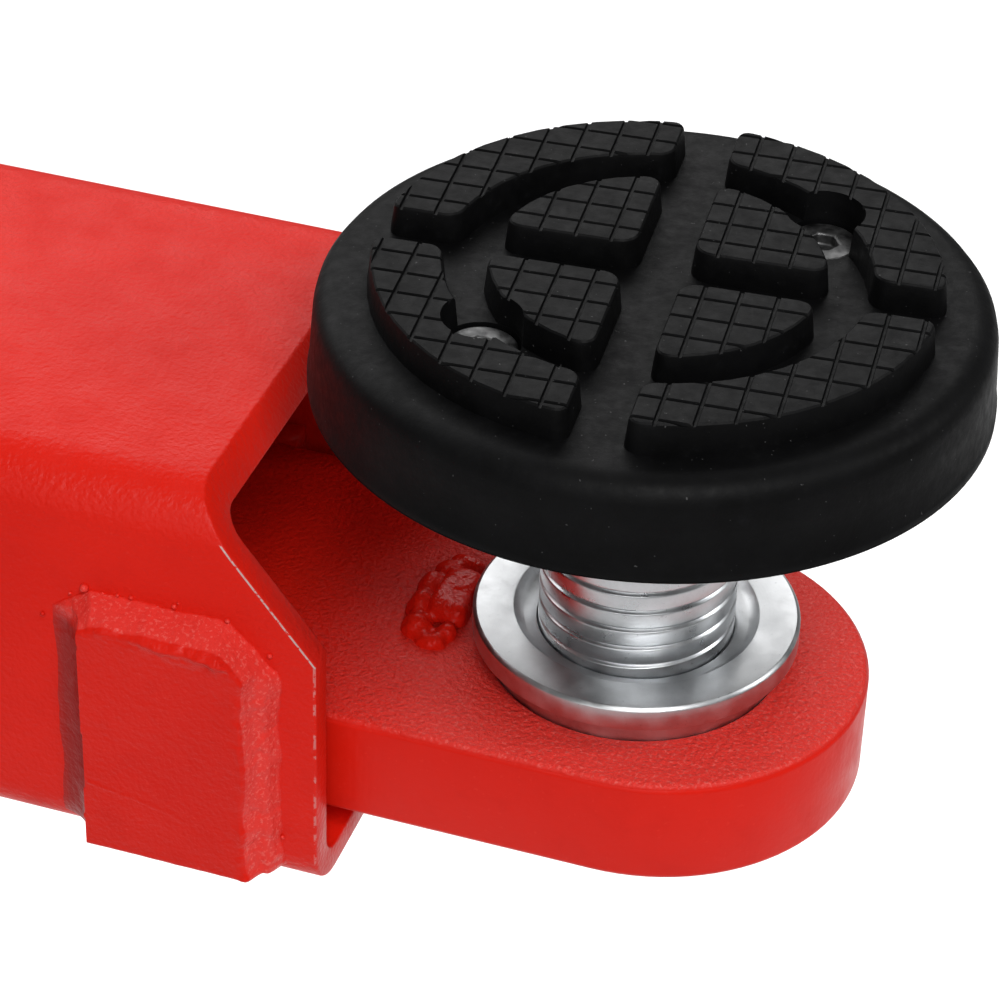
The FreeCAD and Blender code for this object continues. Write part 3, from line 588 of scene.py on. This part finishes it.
def rubber_pad():
    profile = [(0, PAD_SHELF), (50.0, PAD_SHELF), (54.3, 128.5), (56.1, 128.2), (57.5, 127.3), (58.5, 126.0),
               (58.95, 124.2), (59.3, 119.5), (59.75, 112.6), (60.0, 112.1), (60.0, 110.9), (59.7, 110.6),
               (54.4, 110.6), (53.4, 111.2), (53.3, 121.1), (20.0, 121.1), (19.6, 121.5), (19.6, 124.9),
               (19.0, 125.3), (0, 125.3)]
    body = turned(profile, steps=144, closed=False)
    wells = []
    for x, y in screw_places():
        wells.append(turned([(0, 124.1), (6.45, 124.1), (6.7, 127), (7.0, 136), (0, 136)], 40, x, y))
        wells.append(turned([(0, 119), (4.3, 119), (4.3, 125), (0, 125)], 32, x, y))
    body = cut_from(body, wells)
    close_up(body)
    pieces = [finished("pad_body", body, moulded_rubber, "pad", crease=32)]
    for quarter in range(4):
        for kind, inner, outer, corner in (("ring", 36.3, 49.7, 3.0), ("core", 0, 29.7, 4.0)):
            bm = pad_turn(island(inner, outer, quarter, corner))
            cutters = [waffle_cutter(0), waffle_cutter(1)]
            for x, y in screw_places():
                cutters.append(turned([(0, 120), (6.6, 120), (7.1, 136), (0, 136)], 40, x, y))
            bm = cut_from(bm, cutters)
            bmesh.ops.dissolve_degenerate(bm, dist=0.000005, edges=bm.edges)
            close_up(bm)
            pieces.append(finished("tread_%s_%d" % (kind, quarter + 1), bm, moulded_rubber, "pad",
                                   crease=24))
    for piece in pieces:
        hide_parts("rubber_pad")
    flash = turned([(59.7, 110.75), (60.0, 110.72), (60.0, 110.62), (59.6, 110.62)], 144)
    finished("pad_flash_line", flash, moulded_rubber, "pad")


# ---------------------------------------------------------------- screw, sleeve and their rings

def kept_part(node, height, way):
    """A copy of the node cut off at a height: what is above it (1) or below it (-1)."""
    bm = copied(node)
    bmesh.ops.bisect_plane(bm, geom=bm.verts[:] + bm.edges[:] + bm.faces[:], dist=1e-7,
                           plane_co=mm(0, 0, height), plane_no=(0, 0, -way), clear_outer=True)
    return bm


def lifting_screw():
    bm = added(threaded(18.0, 0.70, 20.7, 97.4), kept_part("lift_screw", 97.2, 1))
    bm = added(bm, kept_part("lift_screw", 20.9, -1))
    piece = finished("lift_screw_cut", bm, screw_zinc, "screw", crease=50)
    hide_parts("lift_screw")


def sleeve():
    shank = threaded(27.0, 0.95, 26.6, 49.6)
    bore = turned([(0, 20), (23.0, 20), (23.0, 29.5), (18.1, 29.5), (18.1, 62), (0, 62)], 120)
    shank = cut_from(shank, [bore])
    close_up(shank)
    shank = added(shank, kept_part("screw_sleeve", 26.8, -1))
    lower = finished("sleeve_thread", shank, flange_zinc, "sleeve", crease=50)
    head = [(18.1, 49.4), (26.4, 49.4), (27.0, 50.0), (27.0, 55.1), (27.2, 55.5), (29.7, 55.5),
            (29.92, 55.58), (30.0, 55.8), (30.0, 59.62), (29.93, 59.76), (29.45, 60.22), (29.3, 60.3),
            (22.75, 60.3), (22.5, 60.2), (21.6, 59.2), (20.4, 58.55), (18.8, 58.15), (18.3, 57.9),
            (18.1, 57.4)]
    upper = finished("sleeve_flange", turned(head, 160), flange_zinc, "sleeve", crease=22)
    for piece in (upper, lower):
        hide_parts("screw_sleeve")


# ---------------------------------------------------------------- the inner arm's end

def inner_arm():
    bm = copied("inner_arm_tube")
    ease(bm, 0.45, 2, 40)
    bmesh.ops.triangulate(bm, faces=[f for f in bm.faces if len(f.verts) > 4])
    piece = finished("inner_arm_painted", bm, arm_enamel, "inner_arm")
    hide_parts("inner_arm_tube")


def lug():
    bm = copied("lug_plate")
    ease(bm, 0.55, 3, 30)
    bmesh.ops.triangulate(bm, faces=[f for f in bm.faces if len(f.verts) > 4])
    piece = finished("lug_painted", bm, lug_enamel, "inner_arm", crease=40)
    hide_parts("lug_plate")


def clamped(value):
    return min(max(value, 0.0), 1.0)


def block_rise(px, pz):
    """How far the block and its weld have risen at a place, from the wall (0) to the block's face (1)."""
    rear = clamped((px - 707.7) / 10.0)
    front = clamped((754.3 - px) / 6.2)
    top = clamped((76.2 - pz) / 3.9)
    cut = clamped((575.4 - (0.700 * px + 0.714 * pz)) / 2.9)
    rear_cut = clamped((-366.3 - (0.803 * pz - 0.596 * px)) / 3.9)
    rear = 1.0 - math.sqrt(1.0 - rear * rear)
    front = front - 0.07 * math.sin(4 * math.pi * front)
    top = math.sin(top * math.pi / 2) ** 0.9
    return min(rear, front, top, math.sin(cut * math.pi / 2), rear_cut)


def tube_side(pz):
    """How far the tube's side stands from the arm's middle, rounding in at the bottom corner."""
    below = max(TUBE_CORNER_Z - pz, 0.0)
    return ARM_WALL - TUBE_CORNER + math.sqrt(max(TUBE_CORNER ** 2 - below ** 2, 0.0))


def block_skin(wall, place):
    """How far the block's welded skin stands from the arm's middle, over a place on the tube's side."""
    px = place.x + noise.noise(place * 0.13) * 0.8 + noise.noise(place * 0.45) * 0.18
    pz = place.z + noise.noise(place * 0.13 + Vector((9, 9, 9))) * 0.8 + noise.noise(place * 0.5) * 0.2
    rise = block_rise(px, pz)

    edges = 1.0 - clamped((rise - 0.90) / 0.10)
    front_run = clamped((px - 746.5) / 2.5)
    top_run = clamped((pz - 70.6 + (px - BLOCK_X) * 0.10) / 1.2)
    weld = max(edges, front_run, top_run) if rise > 0.0 else 0.0
    lump = noise.noise(place * 0.28) * 0.62 + noise.noise(place * 0.62) * 0.26
    lump += noise.noise(place * 1.6) * 0.07
    if px < 718.0 and pz < 66.0:
        lump *= 0.25
    out = wall - BLOCK_SINK + (BLOCK_FACE - wall + BLOCK_SINK) * rise + lump * weld * min(rise * 5.0, 1.0)

    if px < 749.0:
        crest = math.exp(-((pz - 73.4 + (px - BLOCK_X) * 0.07) / 1.5) ** 2)
        out += crest * clamped((px - 720.0) / 14.0) * 0.9 * min(rise * 1.5, 1.0)

    scar = Vector((18.9, -4.3))
    reach = Vector((px - 718.6, pz - 38.6))
    along = clamped(reach.dot(scar) / scar.length_squared)
    away = (reach - scar * along).length
    out += math.exp(-(away / 0.30) ** 2) * 0.14 * (1.0 - 0.5 * along) * rise

    out += (noise.noise(place * 0.09) * 0.12 + noise.noise(place * 0.5) * 0.05) * rise
    lip = max(BLOCK_LIP - (place.z - BLOCK_FOOT), 0.0) / BLOCK_LIP
    return out - BLOCK_LIP * (1.0 - math.sqrt(1.0 - lip * lip)) * rise


def stop_block(side, word):
    """A block with weld run into it: a hollow flank behind, heaped runs above and in front, and spatter."""
    shape = bmesh.new()
    bmesh.ops.create_grid(shape, x_segments=190, y_segments=200, size=1.0)
    for v in shape.verts:
        v.co = mm(BLOCK_X + v.co.x * 25.0, 0.0, BLOCK_Z + v.co.y * 28.0)
    raised = bmesh.ops.extrude_face_region(shape, geom=shape.faces[:])["geom"]
    raised = {v for v in raised if isinstance(v, bmesh.types.BMVert)}
    for v in shape.verts:
        v.co.x = min(v.co.x, (CUT_TOP_X + (CUT_TOP_Z - v.co.z / MM) * CUT_RUN) * MM)
        px, pz = v.co.x / MM, v.co.z / MM
        wall = tube_side(pz)
        out = block_skin(wall, Vector((px, side * 50.0, pz))) if v in raised else wall - BLOCK_BACK
        v.co.y = side * out * MM
    for px, pz, size in ((716.8, 76.6, 0.85), (712.3, 70.9, 0.42), (708.4, 68.6, 0.48), (725.7, 76.8, 0.45),
                         (733.8, 77.0, 0.50), (723.1, 76.6, 0.34), (720.2, 76.2, 0.38), (734.6, 77.9, 0.30),
                         (751.6, 71.0, 0.50), (743.8, 76.6, 0.50), (714.0, 74.6, 0.34), (753.6, 30.0, 0.40)):
        ball = bmesh.ops.create_icosphere(shape, subdivisions=2, radius=size * MM)["verts"]
        bmesh.ops.translate(shape, verts=ball, vec=mm(px, side * (ARM_WALL + size * 0.35), pz))
    close_up(shape)
    piece = finished("stop_block_%s_welded" % word, shape, block_enamel, "inner_arm", crease=70)
    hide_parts("stop_block_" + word)
    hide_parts("stop_block_weld_" + word)


def lug_side_weld(word):
    """The lug's long weld, left lumpy as it froze."""
    shape = melted(copied("lug_weld_" + word), 0.6, 3, ((6.0, 1.0), (2.4, 0.5)))
    close_up(shape)
    piece = finished("lug_weld_%s_run" % word, shape, weld_enamel, "inner_arm", crease=80)
    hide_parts("lug_weld_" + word)


def stop_tab():
    """The little stop in front of the sleeve, nearly lost under a curl of weld."""
    bm = copied("sleeve_stop_tab")
    ease(bm, 0.9, 2, 30)
    drops = ((767.4, 11.8, 3.6, 2.6, 2.4), (764.8, 8.0, 3.2, 3.4, 3.2), (763.3, 2.6, 2.6, 3.8, 3.9),
             (763.4, -3.6, 2.6, 3.8, 3.9), (764.6, -9.4, 3.2, 3.4, 3.4), (768.4, -12.4, 3.4, 2.2, 2.9),
             (769.3, 6.0, 2.6, 3.6, 3.0), (768.2, 0.5, 2.2, 2.4, 2.4), (770.2, -9.6, 2.4, 2.4, 3.2))
    for px, py, long, wide, high in drops:
        drop = bmesh.ops.create_icosphere(bm, subdivisions=3, radius=1.0)["verts"]
        bmesh.ops.scale(bm, verts=drop, vec=mm(long, wide, high))
        bmesh.ops.translate(bm, verts=drop, vec=mm(px, py, LUG_TOP))
    shape = melted(bm, 0.4, 7, ((7.0, 1.0), (2.6, 0.35)))
    for v in shape.verts:
        v.co.x = min(v.co.x, TAB_WELD_END * MM)
    close_up(shape)
    piece = finished("stop_tab_welded", shape, weld_enamel, "inner_arm", crease=80)
    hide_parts("sleeve_stop_tab_weld")
    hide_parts("sleeve_stop_tab")


# ---------------------------------------------------------------- the outer arm's welds

def outer_arm_welds():
    """Beads round the mouth band, round the pivot's boss and down the root plate."""
    low, high = extent("outer_arm_tube")
    sunk = 0.4
    side, top, floor_z = high[1] - sunk, high[2] - sunk, low[2] + sunk
    band_x, root_x, boss_radius = 537.2, 70.6, 43.0
    corner, root_inset, root_out = 9.0, 11, 0.2
    loop = [(band_x, -side, floor_z + corner), (band_x, -side, top - corner), (band_x, -side + corner, top),
            (band_x, side - corner, top), (band_x, side, top - corner), (band_x, side, floor_z + corner),
            (band_x, side - corner, floor_z), (band_x, corner - side, floor_z),
            (band_x, -side, floor_z + corner)]
    weld_run("mouth_band_weld", loop, 2.4, "outer_arm", outer_enamel)
    angles = [k * math.pi / 36 for k in range(14, 59)]
    for word, z in (("lower", 11.2), ("upper", 105.8)):
        ring = [(boss_radius * math.cos(a), boss_radius * math.sin(a), z) for a in angles]
        weld_run("pivot_boss_weld_" + word, ring, 2.6, "outer_arm", outer_enamel)
    for word, way in (("near", -1), ("far", 1)):
        y = way * (side + root_out)
        edge = [(root_x, y, floor_z + root_inset), (root_x, y, top - root_inset)]
        weld_run("root_weld_" + word, edge, 2.2, "outer_arm", outer_enamel)


# ---------------------------------------------------------------- studio

FLOOR = -0.9


def studio():
    """A pale floor, a little light from all round, and softboxes placed by azimuth and height in degrees."""
    floor_material, tree, shader, place = new_finish("pale_floor", Roughness=0.9, Emission_Strength=0.22)
    soft = blended(tree, cloud(tree, place, 900, 2), (0.80, 0.80, 0.80, 1), (0.84, 0.84, 0.84, 1))
    tree.links.new(soft, shader.inputs["Base Color"])
    shader.inputs["Emission Color"].default_value = (1, 1, 1, 1)
    bm = bmesh.new()
    bmesh.ops.create_grid(bm, x_segments=4, y_segments=4, size=14.0,
                          matrix=Matrix.Translation((0.5, 0, FLOOR)))
    mesh = bpy.data.meshes.new("floor")
    bm.to_mesh(mesh)
    bm.free()
    floor = bpy.data.objects.new("floor", mesh)
    scene.collection.objects.link(floor)
    mesh.materials.append(floor_material)

    world = bpy.data.worlds.new("studio_air")
    world.use_nodes = True
    world.node_tree.nodes["Background"].inputs["Color"].default_value = (1.0, 1.0, 1.0, 1)
    world.node_tree.nodes["Background"].inputs["Strength"].default_value = 0.12
    scene.world = world

    def softbox(name, azimuth, height, distance, size, power, aim=(0.80, 0.0, 0.08)):
        lamp = bpy.data.lights.new(name, "AREA")
        lamp.shape = "RECTANGLE"
        lamp.size, lamp.size_y = size
        lamp.energy = power
        box = bpy.data.objects.new(name, lamp)
        scene.collection.objects.link(box)
        a, e = math.radians(azimuth), math.radians(height)
        target = Vector(aim)
        way = Vector((math.cos(a) * math.cos(e), math.sin(a) * math.cos(e), math.sin(e)))
        box.location = target + distance * way
        box.rotation_euler = (target - box.location).to_track_quat("-Z", "Y").to_euler()

    softbox("overhead_box", 125, 66, 1.9, (1.7, 1.4), 1.5)
    softbox("rear_box", 107, 36, 1.9, (1.3, 0.9), 10)
    softbox("rear_left_box", 143, 32, 1.7, (0.55, 1.1), 6)
    softbox("left_box", 170, 30, 1.7, (0.40, 0.8), 4)
    softbox("front_right_box", 300, 50, 1.9, (0.9, 0.9), 26)
    softbox("front_box", 272, 20, 2.0, (1.3, 0.9), 7)
    softbox("right_box", 18, 31, 1.8, (0.35, 0.7), 7)
    softbox("floor_box", 90, 89, 0.75, (2.4, 2.4), 20, aim=(0.37, 1.45, FLOOR))


def camera():
    lens = bpy.data.cameras.new("camera")
    lens.lens = 126.3
    lens.sensor_width = 36.0
    lens.clip_start = 0.01
    az, el, roll = math.radians(-17.39), math.radians(35.63), math.radians(1.91)
    forward = Vector((math.sin(az) * math.cos(el), math.cos(az) * math.cos(el), -math.sin(el)))
    right = Vector((math.cos(az), -math.sin(az), 0))
    up = right.cross(forward)
    across = right * math.cos(roll) + up * math.sin(roll)
    upward = up * math.cos(roll) - right * math.sin(roll)
    view = bpy.data.objects.new("camera", lens)
    scene.collection.objects.link(view)
    turn = Matrix((across, upward, -forward)).transposed().to_4x4()
    view.matrix_world = Matrix.Translation((0.9319, -0.4948, 0.4490)) @ turn
    scene.camera = view
    scene.view_settings.view_transform = "Standard"


studio()
camera()
rubber_pad()
lifting_screw()
sleeve()
inner_arm()
lug()
for side, word in ((-1, "near"), (1, "far")):
    stop_block(side, word)
    lug_side_weld(word)
stop_tab()
outer_arm_welds()

for node, width in (("outer_arm_tube", 0.6), ("outer_mouth_band", 0.8), ("pivot_boss", 0.8),
                    ("pivot_plate_lower", 0.8), ("pivot_plate_upper", 0.8), ("root_plate", 0.6),
                    ("root_rib_near", 0.6), ("root_rib_far", 0.6)):
    eased_copy(node, "outer_arm", outer_enamel, width)
eased_copy("lug_packing", "inner_arm", packing_enamel, 0.5)
eased_copy("restraint_gear", "outer_arm", blackened_steel, 0.6)
for node in ("gear_bolts", "gear_washers", "gear_nuts", "grease_nipple", "travel_stop_nut",
             "travel_stop_bolt"):
    eased_copy(node, "outer_arm", bolt_zinc, 0.25)
for node in ("pivot_bush_lower", "pivot_bush_upper"):
    eased_copy(node, "outer_arm", oiled_bronze, 0.5)
eased_copy("sleeve_ring", "sleeve_ring", spring_steel, 0.2)
eased_copy("screw_ring", "screw_ring", spring_steel, 0.2)
eased_copy("spigot_ring", "screw", spring_steel, 0.2)
eased_copy("thrust_washer", "screw", oiled_bronze, 0.2)
eased_copy("pad_hub", "pad", blackened_steel, 0.6)
eased_copy("saddle_plate", "pad", blackened_steel, 0.8)
eased_copy("pad_screws", "pad", dark_zinc, 0.5, 3)
eased_copy("pad_nuts", "pad", bolt_zinc, 0.35)
